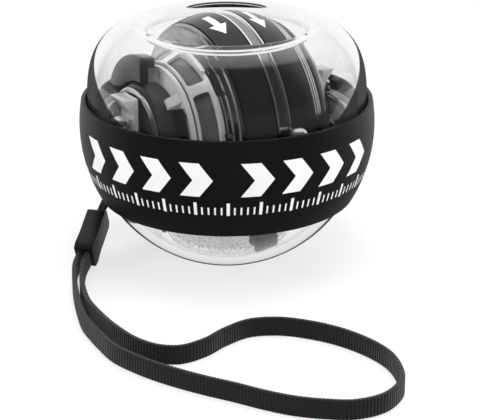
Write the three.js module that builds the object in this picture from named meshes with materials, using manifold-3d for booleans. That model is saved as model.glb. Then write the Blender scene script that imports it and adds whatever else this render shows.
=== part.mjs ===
// Gyroscopic wrist ball with a spring starter: clear two-half housing, grip band, precessing guide ring,
// rotor on a steel axle, wound starter drum, clipped base plate and a wrist lanyard.
// Units are millimetres, +Z is up through the thumb opening, the origin is the centre of the flat foot.
import * as THREE from 'three';
import { mergeVertices } from 'three/addons/utils/BufferGeometryUtils.js';
import Module from 'manifold-3d';

const wasm = await Module();
wasm.setup();

// Clearances and general sizes
const fitGap = 0.3;
const overrun = 2;
const shellSides = 44;
const rotorSides = 36;
const smallSides = 14;

// Housing
const shellRadius = 34;
const wall = 2;
const innerRadius = shellRadius - wall;
const crownDip = 0.8;
const crownPower = 4;
const crownWall = 2.2;
const turnInRadius = 22.4;
const turnInBend = 2.5;
const lipThickness = 1.6;
const lowerDrop = 1.5;
const footRadius = 12.5;
const footStep = 0.9;
const baseHoleRadius = footRadius + footStep;
const ballCentre = lowerDrop + Math.sqrt(shellRadius ** 2 - footRadius ** 2);

// Race groove in which the guide ring and the axle ends run
const journalRadius = 1.45;
const raceHalf = journalRadius + fitGap;
const ledgeThickness = 1.5;
const ledgeWidth = 3;
const ledgeRadius = innerRadius - ledgeWidth;
const screwCount = 4;
const screwSetIn = 0.4;
const screwCircle = ledgeRadius + screwSetIn;
const screwAngle = THREE.MathUtils.degToRad(-57);
const bossRadius = 2;
const bossHeight = 1.4;
const screwShankRadius = 0.8;
const screwShankLength = 2;
const screwHeadRadius = 2.1;
const screwHeadHeight = 1.6;

// Grip band
const bandThickness = 2;
const bandRadius = shellRadius + bandThickness;
const bandTop = 6.6;
const bandBottom = -17.9;
const bandEdge = 0.3;

// Base plate, frosted disc and clips
const plateFlange = 0.9;
const plateFloor = 1.6;
const plateWall = 1.4;
const footChamfer = 0.5;
const discThickness = 0.75;
const clipCount = 3;
const clipAngle = THREE.MathUtils.degToRad(-55);
const clipWidth = 6.4;
const clipHeight = 3.6;
const clipLeg = 1.3;
const clipHook = 2.2;
const clipHookHeight = 1.6;

// Guide ring
const ringRunning = 1.8;
const ringWidth = 2.1;
const ringOuter = innerRadius - ringRunning;
const ringInner = ringOuter - ringWidth;
const ringHalf = raceHalf - fitGap;

// Bearing blocks, one at each end of the axle, clear of the ring and of the screw heads
const blockThickness = 1.3;
const blockHalfWidth = 3.4;
const blockHeight = 10.6;
const blockFlare = 2.6;
const blockReach = screwCircle - screwHeadRadius - fitGap;
const blockOuterFace = Math.sqrt(blockReach ** 2 - blockHalfWidth ** 2);
const blockInnerFace = blockOuterFace - blockThickness;
const spacerRadius = 3.4;

// Stations along the axle from the ball's centre, worked out from the blocks inwards
const axleAngle = THREE.MathUtils.degToRad(30);
const plateClearance = 0.45;
const plateThickness = 1.1;
const drumLength = 5.4;
const rimThickness = 0.5;
const frameLength = 5;
const trimWidth = 2.2;
const capLength = 6.6;
const centreHalf = 1.8;
const drumEnd = blockInnerFace - plateClearance - rimThickness - fitGap;
const drumStart = drumEnd - drumLength;
const plateEnd = drumStart - fitGap;
const plateStart = plateEnd - plateThickness;
const frameEnd = plateStart - plateClearance;
const frameStart = frameEnd - frameLength;
const trimEnd = frameStart - fitGap;
const coverEnd = trimEnd - trimWidth - fitGap;
const capEnd = frameStart + capLength;
const coreHalf = trimEnd - fitGap;

// Rotor
const rotorClearance = 2;
const rotorRadius = ledgeRadius - rotorClearance;
const crownHeight = rotorRadius - crownDip;
const axleRadius = 2;
const neckRadius = 0.8;
const neckSetback = 0.35;
const tipClearance = 0.45;
const coverDepth = 4.9;
const centreGroove = 0.6;
const onRotor = (s) => Math.sqrt(rotorRadius ** 2 - s ** 2);
const coreRadius = onRotor(trimEnd) - coverDepth;
const flankWall = 1;
const flankRadius = coreRadius + flankWall;
const trimGroove = 0.4;
const frameStep = 0.2;
const frameOuterRadius = flankRadius - frameStep;
const frameThickness = 1;
const windowCount = 8;
const windowAngle = THREE.MathUtils.degToRad(19.5);
const spokeWidth = 3;
const outerRim = 0.75;
const innerRim = 0.35;
const windowCorner = 0.8;
const castleLength = 1.1;
const castleShare = 0.55;

// Starter: drum whose rim turns inside the guide ring, pawls round the drum, plate that carries the pawls
const drumWall = 1.2;
const drumChamfer = 0.6;
const rimWidth = 1.4;
const rimStart = drumEnd + fitGap;
const rimEnd = rimStart + rimThickness;
const rimOuterRadius = Math.sqrt((ringInner - fitGap) ** 2 - rimEnd ** 2);
const rimInnerRadius = rimOuterRadius - rimWidth;
const drumRadius = rimOuterRadius + drumChamfer;
const pawlWidth = 2.8;
const pawlInner = drumRadius + 2 * fitGap;
const pawlOuter = pawlInner + pawlWidth;
const pawlThickness = 1.5;
const pawlCentre = THREE.MathUtils.degToRad(67);
const pawlSweep = THREE.MathUtils.degToRad(30);
const pawlCount = 2;
const pawlEdge = 0.9;
const plateRadius = pawlOuter + pawlEdge;
const plateStep = 0.7;
const frameInnerRadius = plateRadius + plateStep;
const plateSlotCount = 6;
const plateSlotWidth = 1.4;
const plateSlotDepth = 2.4;
const arborRadius = 3.3;
const tabWidth = 2.5;
const tabThickness = 1;
const tabReach = 2.7;
const tabAngle = THREE.MathUtils.degToRad(42);
const coilRadius = 0.85;
const coilWire = 0.22;
const coilTurns = 5;
const coilLength = 4;
const mainspringTurns = 5;
const mainspringStrip = 0.5;
const mainspringWidth = 3;

// Black hood behind the drum: its foot stands on the drum, its hollow clears the tab and the pawls
const hoodRise = 2.5;
const hoodRadius = plateRadius + hoodRise;
const hoodInset = 1;
const hoodStart = drumStart + hoodInset;
const hoodSetback = 0.6;
const hoodEnd = drumEnd - hoodSetback;
const hoodFoot = plateEnd + tabReach + fitGap;
const hoodCentre = THREE.MathUtils.degToRad(-28.5);
const hoodSweep = THREE.MathUtils.degToRad(67);

// Lanyard
const cordSides = 8;
const cordRadius = 0.6;
const holeRadius = 1;
const holeAzimuth = THREE.MathUtils.degToRad(155);
const holeSpread = THREE.MathUtils.degToRad(4.2);
const holeDrop = 19;
const knotRadius = 1.4;
const knotStandOff = 2;
const knotReach = innerRadius - knotRadius - knotStandOff;
const strapWidth = 4.4;
const strapThickness = 1.1;
const crimpHeight = 6.2;
const crimpWidth = 4.6;
const crimpFlare = 0.5;
const crimpRound = 1;
const crimpShares = { flare: 0.12, body: 0.38 };
const pocketDepth = 4;
const pocketHeight = 3.7;
const pocketWidth = 1.9;

const v3 = (x, y, z) => new THREE.Vector3(x, y, z);

// Drops seams and zero-area triangles, so that the surface is one closed skin
function closed(geometry) {
  let skin = geometry.clone();
  skin.deleteAttribute('normal');
  skin.deleteAttribute('uv');
  skin = mergeVertices(skin);
  const kept = [];
  const index = skin.index.array;
  for (let i = 0; i < index.length; i += 3) {
    const [a, b, c] = [index[i], index[i + 1], index[i + 2]];
    if (a !== b && b !== c && c !== a) kept.push(a, b, c);
  }
  skin.setIndex(kept);
  return skin;
}

function toSolid(geometry) {
  const skin = closed(geometry);
  const mesh = new wasm.Mesh({
    numProp: 3,
    vertProperties: new Float32Array(skin.attributes.position.array),
    triVerts: new Uint32Array(skin.index.array),
  });
  return new wasm.Manifold(mesh);
}

function fromSolid(solid) {
  const mesh = solid.getMesh();
  const geometry = new THREE.BufferGeometry();
  geometry.setAttribute('position', new THREE.BufferAttribute(mesh.vertProperties, 3));
  geometry.setIndex(new THREE.BufferAttribute(mesh.triVerts, 1));
  return geometry;
}

function cut(geometry, cutters) {
  return fromSolid(cutters.reduce((solid, cutter) => solid.subtract(toSolid(cutter)), toSolid(geometry)));
}

function join(geometry, additions) {
  return fromSolid(additions.reduce((solid, piece) => solid.add(toSolid(piece)), toSolid(geometry)));
}

function polygon(points) {
  return new THREE.Shape(points.map(([x, y]) => new THREE.Vector2(x, y)));
}

function circlePoints(radius, count) {
  return Array.from({ length: count }, (none, i) => {
    const angle = (i * Math.PI * 2) / count;
    return new THREE.Vector2(radius * Math.cos(angle), radius * Math.sin(angle));
  });
}

// Straight extrusion of a shape along +Z
function extruded(shape, depth, curveSegments = 6) {
  return closed(new THREE.ExtrudeGeometry(shape, { depth, bevelEnabled: false, curveSegments }));
}

// Turns a closed profile of [radius, height] points about Z
function turned(profile, sides) {
  const area = profile.reduce((sum, [r, z], i) => {
    const [r2, z2] = profile[(i + 1) % profile.length];
    return sum + r * z2 - r2 * z;
  }, 0);
  const ordered = area > 0 ? profile : [...profile].reverse();
  const points = [...ordered, ordered[0]].map(([r, z]) => new THREE.Vector2(r, z));
  return closed(new THREE.LatheGeometry(points, sides)).rotateX(Math.PI / 2);
}

// Turns a closed profile of [distance along the axle, radius] points about X
function turnedOnAxle(profile, sides = rotorSides) {
  return turned(profile.map(([s, r]) => [r, s]), sides).rotateY(Math.PI / 2);
}

function arcPoints(radius, [across, up], from, to, steps) {
  const points = [];
  for (let i = 0; i <= steps; i += 1) {
    const angle = from + ((to - from) * i) / steps;
    points.push([across + radius * Math.cos(angle), up + radius * Math.sin(angle)]);
  }
  return points;
}

// Squared-off dome of the upper shell, from a height above the equator to the given radius
function crownPoints(radius, height, fromHeight, endRadius, steps) {
  const start = Math.asin((fromHeight / height) ** (crownPower / 2));
  const end = Math.acos((endRadius / radius) ** (crownPower / 2));
  const points = [];
  for (let i = 0; i <= steps; i += 1) {
    const t = start + ((end - start) * i) / steps;
    points.push([
      radius * Math.cos(t) ** (2 / crownPower),
      height * Math.sin(t) ** (2 / crownPower),
    ]);
  }
  return points;
}

function shellRadiusAt(z) {
  if (z > 0) return shellRadius * (1 - (z / crownHeight) ** crownPower) ** (1 / crownPower);
  if (z > -lowerDrop) return shellRadius;
  return Math.sqrt(shellRadius ** 2 - (z + lowerDrop) ** 2);
}

// Block between two radii and two angles about X, angle zero at +Z and positive towards the viewer
function axleSector(inner, outer, centre, sweep, from, length, steps = 8) {
  const shape = new THREE.Shape();
  const start = Math.PI / 2 - centre - sweep / 2;
  shape.absarc(0, 0, outer, start, start + sweep, false);
  shape.absarc(0, 0, inner, start + sweep, start, true);
  shape.closePath();
  return onAxle(extruded(shape, length, steps), from);
}

// Carries an extruded shape onto the axle: drawn +Y is up, drawn +X is the front side, and its depth runs
// from the given place towards the left end
function onAxle(geometry, from) {
  return geometry.applyMatrix4(new THREE.Matrix4().set(
    0, 0, -1, from,
    -1, 0, 0, 0,
    0, 1, 0, 0,
    0, 0, 0, 1,
  ));
}

// Carries a section drawn in XY along a curve, its drawn +Y kept as near to upward as it can be
function swept(section, curve, steps, upward) {
  const options = { depth: 1, steps, bevelEnabled: false, curveSegments: 2 };
  const strip = new THREE.ExtrudeGeometry(section, options);
  const position = strip.attributes.position;
  for (let i = 0; i < position.count; i += 1) {
    const share = THREE.MathUtils.clamp(position.getZ(i), 0, 1);
    const at = curve.getPointAt(share);
    const forward = curve.getTangentAt(share);
    const side = upward.clone().cross(forward).normalize();
    const up = forward.clone().cross(side);
    at.addScaledVector(side, position.getX(i)).addScaledVector(up, position.getY(i));
    position.setXYZ(i, at.x, at.y, at.z);
  }
  return closed(strip);
}

// Outline whose corners are eased, each over the given reach along its two edges
function easedPolygon(points, reach) {
  const corners = points.map(([x, y]) => new THREE.Vector2(x, y));
  const shape = new THREE.Shape();
  corners.forEach((at, i) => {
    const [before, after] = [corners.at(i - 1), corners[(i + 1) % corners.length]];
    const from = before.clone().sub(at).setLength(reach).add(at);
    const to = after.clone().sub(at).setLength(reach).add(at);
    if (i === 0) shape.moveTo(from.x, from.y);
    else shape.lineTo(from.x, from.y);
    shape.quadraticCurveTo(at.x, at.y, to.x, to.y);
  });
  shape.closePath();
  return shape;
}

const finish = {
  clear: { color: 0xf2f5f6, roughness: 0.05, metalness: 0, transparent: true, opacity: 0.35 },
  frosted: { color: 0xe4e6e8, roughness: 0.55, metalness: 0, transparent: true, opacity: 0.7 },
  silicone: { color: 0x1b1b1c, roughness: 0.62, metalness: 0 },
  black: { color: 0x141416, roughness: 0.35, metalness: 0 },
  gloss: { color: 0x0c0c0e, roughness: 0.12, metalness: 0 },
  darkGrey: { color: 0x3a3a3d, roughness: 0.4, metalness: 0 },
  lightGrey: { color: 0xb9babd, roughness: 0.38, metalness: 0.1 },
  silver: { color: 0xc9cacc, roughness: 0.25, metalness: 0.9 },
  chrome: { color: 0xe6e7e9, roughness: 0.07, metalness: 1 },
  steel: { color: 0x8d8f92, roughness: 0.3, metalness: 1 },
  smoke: { color: 0x3c3d40, roughness: 0.1, metalness: 0, transparent: true, opacity: 0.75 },
  woven: { color: 0x161617, roughness: 0.85, metalness: 0 },
};

const ball = new THREE.Group();
const housing = new THREE.Group();
housing.position.z = ballCentre;
const axleGroup = new THREE.Group();
axleGroup.rotation.z = axleAngle;
housing.add(axleGroup);
ball.add(housing);

function place(group, name, geometry, look) {
  const mesh = new THREE.Mesh(geometry, new THREE.MeshStandardMaterial(finish[look]));
  mesh.name = name;
  group.add(mesh);
  return mesh;
}

function screwPlaces() {
  const places = [];
  for (let i = 0; i < screwCount; i += 1) {
    const angle = screwAngle + (i * Math.PI * 2) / screwCount;
    places.push(v3(screwCircle * Math.cos(angle), screwCircle * Math.sin(angle), 0));
  }
  return places;
}

const ledgeTop = raceHalf + ledgeThickness;
const bossTop = ledgeTop + bossHeight;

function upright(radius, from, height, sides = smallSides) {
  return turned([[0, from], [radius, from], [radius, from + height], [0, from + height]], sides);
}

// Share of a crown's height that it keeps at a share of its radius
function crownShare(radiusShare) {
  return (1 - radiusShare ** crownPower) ** (1 / crownPower);
}

// The crown turns down into the thumb opening and ends in a rounded lip
function upperShell() {
  const outer = crownPoints(shellRadius, crownHeight, fitGap / 2, turnInRadius, 8);
  const edgeShare = crownShare(turnInRadius / shellRadius);
  const edgeHeight = crownHeight * edgeShare;
  const steepness = (turnInRadius / shellRadius / edgeShare) ** (crownPower - 1);
  const lean = Math.atan((crownHeight / shellRadius) * steepness);
  const bendCentre = [turnInRadius - turnInBend * Math.sin(lean), edgeHeight - turnInBend * Math.cos(lean)];
  const [across, up] = bendCentre;
  const bend = arcPoints(turnInBend, bendCentre, Math.PI / 2 - lean, Math.PI, 4);
  const lip = lipThickness / 2;
  const openingRadius = across - turnInBend;
  const end = arcPoints(lip, [openingRadius + lip, up], Math.PI, Math.PI * 2, 4);
  const innerHeight = (edgeHeight - crownWall) / crownShare(turnInRadius / innerRadius);
  const inner = crownPoints(innerRadius, innerHeight, ledgeTop, openingRadius + lipThickness, 6);
  const profile = [
    ...outer,
    ...bend.slice(1),
    ...end.slice(1),
    ...inner.reverse(),
    [ledgeRadius, ledgeTop],
    [ledgeRadius, raceHalf],
    [innerRadius, raceHalf],
    [innerRadius, fitGap / 2],
  ];
  const bosses = screwPlaces().map((at) => upright(bossRadius, raceHalf, bossTop - raceHalf)
    .translate(at.x, at.y, 0));
  const holeDepth = screwShankLength + fitGap;
  const holes = screwPlaces().map((at) => {
    const hole = upright(screwShankRadius + fitGap, bossTop - holeDepth, holeDepth + overrun);
    return hole.translate(at.x, at.y, 0);
  });
  return cut(join(turned(profile, shellSides), bosses), holes);
}

function raceScrew(at) {
  const seat = bossTop + fitGap;
  const dome = [];
  for (let i = 0; i <= 4; i += 1) {
    const t = (i * Math.PI) / 8;
    dome.push([screwHeadRadius * Math.cos(t), seat + screwHeadHeight * Math.sin(t)]);
  }
  const profile = [[0, bossTop - screwShankLength], [screwShankRadius, bossTop - screwShankLength],
    [screwShankRadius, seat], ...dome];
  return turned(profile, smallSides).translate(at.x, at.y, 0);
}

function holeDirection(azimuth) {
  const across = Math.sqrt(shellRadius ** 2 - holeDrop ** 2);
  return v3(across * Math.cos(azimuth), across * Math.sin(azimuth), -holeDrop).normalize();
}

function lowerShell() {
  const outerEnd = -Math.acos(baseHoleRadius / shellRadius);
  const innerEnd = -Math.acos(baseHoleRadius / innerRadius);
  const ledgeMeets = -Math.asin((ledgeTop - lowerDrop) / innerRadius);
  const profile = [
    [shellRadius, -fitGap / 2],
    ...arcPoints(shellRadius, [0, -lowerDrop], 0, outerEnd, 9),
    ...arcPoints(innerRadius, [0, -lowerDrop], innerEnd, ledgeMeets, 6),
    [ledgeRadius, -ledgeTop],
    [ledgeRadius, -raceHalf],
    [innerRadius, -raceHalf],
    [innerRadius, -fitGap / 2],
  ];
  const holes = [-holeSpread, holeSpread].map((offset) => {
    const hole = upright(holeRadius, innerRadius - overrun, wall + 2 * overrun, 10);
    const turn = new THREE.Quaternion().setFromUnitVectors(v3(0, 0, 1), holeDirection(holeAzimuth + offset));
    return hole.applyQuaternion(turn).translate(0, 0, -lowerDrop);
  });
  return cut(turned(profile, shellSides), holes);
}

function gripBand() {
  const steps = 6;
  const outer = [];
  const inner = [];
  for (let i = 0; i <= steps; i += 1) {
    const z = bandBottom + ((bandTop - bandBottom) * i) / steps;
    const edge = i === 0 || i === steps ? bandEdge : 0;
    outer.push([Math.sqrt(bandRadius ** 2 - z ** 2) - edge, z]);
    inner.unshift([shellRadiusAt(z) + fitGap, z]);
  }
  const [first, last] = [outer[0], outer[steps]];
  outer.splice(1, 0, [first[0] + bandEdge, first[1] + bandEdge]);
  outer.splice(steps + 1, 0, [last[0] + bandEdge, last[1] - bandEdge]);
  return turned([...outer, ...inner], shellSides);
}

// Levels under the rotor, and the radius at which the flange seats in the bowl
const discTop = -rotorRadius - fitGap;
const discBottom = discTop - discThickness;
const flangeTop = discBottom - fitGap;
const flangeBottom = flangeTop - plateFlange;
const plateFlangeRadius = Math.sqrt(innerRadius ** 2 - (flangeBottom - fitGap + lowerDrop) ** 2);

function basePlate() {
  const stem = baseHoleRadius - fitGap;
  const bore = stem - plateWall;
  return turned([
    [0, -ballCentre],
    [footRadius, -ballCentre],
    [stem, -ballCentre + footChamfer],
    [stem, flangeBottom],
    [plateFlangeRadius, flangeBottom],
    [plateFlangeRadius, flangeTop],
    [bore, flangeTop],
    [bore, -ballCentre + plateFloor],
    [0, -ballCentre + plateFloor],
  ], shellSides);
}

function baseDisc() {
  const rim = plateFlangeRadius;
  return turned([[0, discBottom], [rim, discBottom], [rim, discTop], [0, discTop]], shellSides);
}

// Hook over the disc's edge, its leg standing on the inside of the bowl
function baseClip(angle) {
  const legInner = plateFlangeRadius + fitGap;
  const legOuter = legInner + clipLeg;
  const corner = Math.hypot(legOuter, clipWidth / 2) + fitGap;
  const legBottom = -lowerDrop - Math.sqrt(innerRadius ** 2 - corner ** 2);
  const hookBottom = discTop + fitGap;
  const hookTop = hookBottom + clipHookHeight;
  const top = Math.max(legBottom + clipHeight, hookTop);
  const hook = polygon([
    [legOuter, legBottom], [legOuter, top - clipLeg / 2], [legOuter - clipLeg / 2, top],
    [legInner - clipHook, top], [legInner - clipHook, hookBottom], [legInner, hookBottom],
    [legInner, legBottom],
  ]);
  return extruded(hook, clipWidth).rotateX(Math.PI / 2).translate(0, clipWidth / 2, 0).rotateZ(angle);
}

// Flat ring with an open notch at each end of the axle
function guideRing() {
  const body = turned([
    [ringInner, -ringHalf], [ringOuter, -ringHalf], [ringOuter, ringHalf], [ringInner, ringHalf],
  ], shellSides);
  const width = 2 * (neckRadius + fitGap);
  const height = neckRadius + fitGap + ringHalf + overrun;
  const notch = (side) => new THREE.BoxGeometry(ringOuter - ringInner + 2 * overrun, width, height)
    .translate((side * (ringInner + ringOuter)) / 2, 0, neckRadius + fitGap - height / 2);
  return cut(body, [notch(-1), notch(1)]);
}

function axle() {
  const end = innerRadius - tipClearance;
  const neckStart = screwCircle - bossRadius - fitGap;
  const neckEnd = ringOuter + neckSetback;
  const half = [[axleRadius, neckStart], [neckRadius, neckStart], [neckRadius, neckEnd],
    [journalRadius, neckEnd], [journalRadius, end - fitGap], [journalRadius - fitGap, end], [0, end]];
  const profile = [...half.map(([r, s]) => [-s, r]).reverse(), ...half.map(([r, s]) => [s, r])];
  return turnedOnAxle(profile, 20);
}

const bore = axleRadius + fitGap;
const sleeveBore = coreRadius + fitGap;

function rotorCore() {
  return turnedOnAxle([
    [-coreHalf, bore], [coreHalf, bore], [coreHalf, coreRadius], [-coreHalf, coreRadius],
  ]);
}

// Two raised lines with a sunk line between them round the rotor's middle
function centreRing() {
  const lineShares = [-1, -0.36, -0.28, 0.28, 0.36, 1];
  const sunk = [false, false, true, true, false, false];
  const outer = lineShares.map((share, i) => {
    const s = share * centreHalf;
    return [s, onRotor(s) - (sunk[i] ? centreGroove : 0)];
  });
  return turnedOnAxle([...outer, [centreHalf, sleeveBore], [-centreHalf, sleeveBore]]);
}

function coverRing(side) {
  const start = centreHalf + fitGap;
  const steps = 4;
  const outer = [];
  for (let i = 0; i <= steps; i += 1) {
    const s = start + ((coverEnd - start) * i) / steps;
    outer.push([side * s, onRotor(s)]);
  }
  return turnedOnAxle([...outer, [side * coverEnd, sleeveBore], [side * start, sleeveBore]]);
}

// Stepped silver ring at the right shoulder
function shoulderTrim() {
  const start = coverEnd + fitGap;
  const lineShares = [0, 0.22, 0.22, 0.4, 0.4, 0.66, 0.66, 0.8, 0.8, 1];
  const sunk = [0, 0, 1, 1, 0, 0, 1, 1, 0, 0];
  const outer = lineShares.map((share, i) => {
    const s = start + (trimEnd - start) * share;
    return [s, onRotor(s) - trimGroove * sunk[i]];
  });
  return turnedOnAxle([...outer, [trimEnd, sleeveBore], [start, sleeveBore]]);
}

// Smoked flank that falls from the left band to the window frame, with two fine steps
function flankRing() {
  const start = coverEnd + fitGap;
  const top = onRotor(start);
  const fallShares = [[0, 0], [0.3, 0.12], [0.34, 0.3], [0.62, 0.52], [0.66, 0.68], [1, 1]];
  const outer = fallShares.map(([along, down]) => [
    -(start + (trimEnd - start) * along), top - (top - flankRadius) * down]);
  return turnedOnAxle([...outer, [-trimEnd, sleeveBore], [-start, sleeveBore]]);
}

function frameRadiusAt(s) {
  const share = (s - frameStart) / (frameEnd - frameStart);
  return frameOuterRadius + (frameInnerRadius - frameOuterRadius) * share;
}

// Light cage over the left end: outer ring, spokes, inner ring and castellations
function endFrame() {
  const shell = turnedOnAxle([
    [-frameStart, frameOuterRadius], [-frameEnd, frameInnerRadius],
    [-frameEnd, frameInnerRadius - frameThickness], [-frameStart, frameOuterRadius - frameThickness],
  ]);
  const pitch = (Math.PI * 2) / windowCount;
  const [near, far] = [frameStart + outerRim, frameEnd - innerRim];
  const [nearHalf, farHalf] = [near, far].map((s) => frameRadiusAt(s) * Math.sin(pitch / 2)
    - (spokeWidth / 2) * Math.cos(pitch / 2));
  const outline = [[-near, -nearHalf], [-near, nearHalf], [-far, farHalf], [-far, -farHalf]];
  const bottom = frameInnerRadius - frameThickness - overrun;
  const depth = frameOuterRadius + overrun - bottom;
  const windows = [];
  const castles = [];
  for (let i = 0; i < windowCount; i += 1) {
    const angle = windowAngle + i * pitch;
    const pane = extruded(easedPolygon(outline, windowCorner), depth, 2);
    windows.push(pane.translate(0, 0, bottom).rotateX(angle));
    castles.push(axleSector(frameOuterRadius - frameThickness / 2, frameOuterRadius + frameThickness / 2,
      angle, pitch * castleShare, -frameStart, castleLength, 2));
  }
  return join(cut(shell, windows), castles);
}

function leftCap() {
  const inset = frameThickness + fitGap;
  return turnedOnAxle([
    [-frameStart, bore], [-frameStart, frameOuterRadius - inset],
    [-frameEnd, frameInnerRadius - inset], [-frameEnd, bore],
  ]);
}

function rightCap() {
  const rise = onRotor(frameStart);
  const capShares = [[0, 1], [0.28, 0.965], [0.56, 0.895], [0.78, 0.805], [0.93, 0.69], [1, 0.55]];
  const outer = capShares.map(([along, out]) => [frameStart + capLength * along, rise * out]);
  return turnedOnAxle([...outer, [capEnd, bore], [frameStart, bore]]);
}

// Collar that keeps the rotor centred between its two blocks
function spacer() {
  const [from, to] = [capEnd + fitGap, blockInnerFace - fitGap];
  return turnedOnAxle([[from, bore], [to, bore], [to, spacerRadius], [from, spacerRadius]], 20);
}

// Winding plate with its arbor, edge slots and the tab that the thumb's turn drives
function starterPlate() {
  const arborEnd = drumEnd - drumWall - fitGap;
  const body = turnedOnAxle([
    [-plateStart, bore], [-plateStart, plateRadius], [-plateEnd, plateRadius], [-plateEnd, arborRadius],
    [-arborEnd, arborRadius], [-arborEnd, bore],
  ]);
  const slots = [];
  for (let i = 0; i < plateSlotCount; i += 1) {
    const slot = new THREE.BoxGeometry(plateThickness + 2 * overrun, plateSlotWidth, plateSlotDepth)
      .translate(-(plateStart + plateEnd) / 2, 0, plateRadius - plateSlotDepth / 2 - tabThickness);
    slots.push(slot.rotateX((i * Math.PI * 2) / plateSlotCount));
  }
  const [tabEnd, tabFoot] = [plateEnd + tabReach, drumRadius + fitGap];
  const wedge = polygon([
    [-plateStart, plateRadius], [-tabEnd, tabFoot + tabThickness], [-tabEnd, tabFoot], [-plateEnd, tabFoot],
    [-plateStart, plateRadius - tabThickness],
  ]);
  const tab = extruded(wedge, tabWidth).rotateX(Math.PI / 2).translate(0, tabWidth / 2, 0);
  return join(cut(body, slots), [tab.rotateX(tabAngle)]);
}

function starterPawl(turn) {
  return axleSector(pawlInner, pawlOuter, pawlCentre + turn, pawlSweep, -plateEnd - fitGap, pawlThickness);
}

// Small coil behind each pawl, as one unbroken wire
function pawlSpring(turn) {
  const middle = (pawlInner + pawlOuter) / 2;
  const from = pawlCentre + turn + pawlSweep / 2;
  const start = v3(-plateEnd - fitGap - coilRadius - coilWire, 0, middle);
  class Coil extends THREE.Curve {
    getPoint(share) {
      const wind = share * coilTurns * Math.PI * 2;
      return v3(start.x + coilRadius * Math.cos(wind), -(fitGap + coilWire + coilLength * share),
        start.z + coilRadius * Math.sin(wind));
    }
  }
  const wire = new THREE.ExtrudeGeometry(new THREE.Shape(circlePoints(coilWire, 5)), {
    steps: coilTurns * 6, bevelEnabled: false, extrudePath: new Coil(),
  });
  return closed(wire).rotateX(from);
}

function springDrum() {
  return turnedOnAxle([
    [-drumStart, drumRadius], [-drumEnd + drumChamfer, drumRadius], [-drumEnd, drumRadius - drumChamfer],
    [-drumEnd, bore], [-drumEnd + drumWall, bore], [-drumEnd + drumWall, drumRadius - drumWall],
    [-drumStart, drumRadius - drumWall],
  ]);
}

function drumRim() {
  return turnedOnAxle([[-rimStart, rimInnerRadius], [-rimStart, rimOuterRadius], [-rimEnd, rimOuterRadius],
    [-rimEnd, rimInnerRadius]]);
}

// Flat spiral strip between the arbor and the drum's wall
function mainspring() {
  const inner = arborRadius + fitGap;
  const outer = drumRadius - drumWall - fitGap - mainspringStrip;
  const steps = mainspringTurns * 12;
  const edge = (offset) => Array.from({ length: steps + 1 }, (none, i) => {
    const angle = (i / steps) * mainspringTurns * Math.PI * 2;
    const radius = inner + offset + ((outer - inner) * i) / steps;
    return new THREE.Vector2(radius * Math.cos(angle), radius * Math.sin(angle));
  });
  const strip = new THREE.Shape([...edge(0).reverse(), ...edge(mainspringStrip)]);
  return onAxle(extruded(strip, mainspringWidth), -drumEnd + drumWall + fitGap + mainspringWidth);
}

function drumHood() {
  const inner = drumRadius + fitGap;
  const body = axleSector(inner, hoodRadius, hoodCentre, hoodSweep, -hoodStart, hoodEnd - hoodStart);
  const hollowLength = hoodFoot - hoodStart + overrun;
  const hollow = axleSector(drumRadius, plateRadius, hoodCentre, hoodSweep * 1.2, overrun - hoodStart,
    hollowLength);
  return cut(body, [hollow]);
}

// Flared bracket that stands in the guide ring and carries one end of the axle
function bearingBlock(side) {
  const flareStart = bossTop + fitGap + screwHeadHeight + fitGap;
  const flareTip = blockOuterFace + blockFlare;
  const padFace = Math.sqrt((ringInner - fitGap) ** 2 - blockHalfWidth ** 2);
  const upper = [[padFace, ringHalf], [blockOuterFace, ringHalf], [blockOuterFace, flareStart],
    [flareTip, blockHeight], [blockInnerFace, blockHeight]];
  const lower = upper.map(([s, z]) => [s, -z]).reverse();
  const outline = [...upper, ...lower].map(([s, z]) => [side * s, z]);
  const body = extruded(polygon(outline), 2 * blockHalfWidth).rotateX(Math.PI / 2);
  const reach = overrun + padFace - blockInnerFace;
  const hole = turnedOnAxle([[-reach, 0], [reach, 0], [reach, bore], [-reach, bore]], smallSides);
  return cut(body.translate(0, blockHalfWidth, 0), [hole.translate(side * blockOuterFace, 0, 0)]);
}

place(housing, 'upper_shell', upperShell(), 'clear');
place(housing, 'lower_shell', lowerShell(), 'clear');
place(housing, 'grip_band', gripBand(), 'silicone');
place(housing, 'base_plate', basePlate(), 'clear');
place(housing, 'base_disc', baseDisc(), 'frosted');
for (let i = 0; i < clipCount; i += 1) {
  place(housing, `base_clip_${i + 1}`, baseClip(clipAngle + (i * Math.PI * 2) / clipCount), 'black');
}
screwPlaces().forEach((at, i) => place(housing, `race_screw_${i + 1}`, raceScrew(at), 'chrome'));

place(axleGroup, 'guide_ring', guideRing(), 'black');
place(axleGroup, 'bearing_block_left', bearingBlock(-1), 'clear');
place(axleGroup, 'bearing_block_right', bearingBlock(1), 'clear');
place(axleGroup, 'spring_drum', springDrum(), 'darkGrey');
place(axleGroup, 'drum_rim', drumRim(), 'chrome');
place(axleGroup, 'drum_hood', drumHood(), 'black');
place(axleGroup, 'mainspring', mainspring(), 'steel');

place(axleGroup, 'starter_plate', starterPlate(), 'lightGrey');
for (let i = 0; i < pawlCount; i += 1) {
  const turn = (i * Math.PI * 2) / pawlCount;
  place(axleGroup, `starter_pawl_${i + 1}`, starterPawl(turn), 'black');
  place(axleGroup, `pawl_spring_${i + 1}`, pawlSpring(turn), 'chrome');
}

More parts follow.
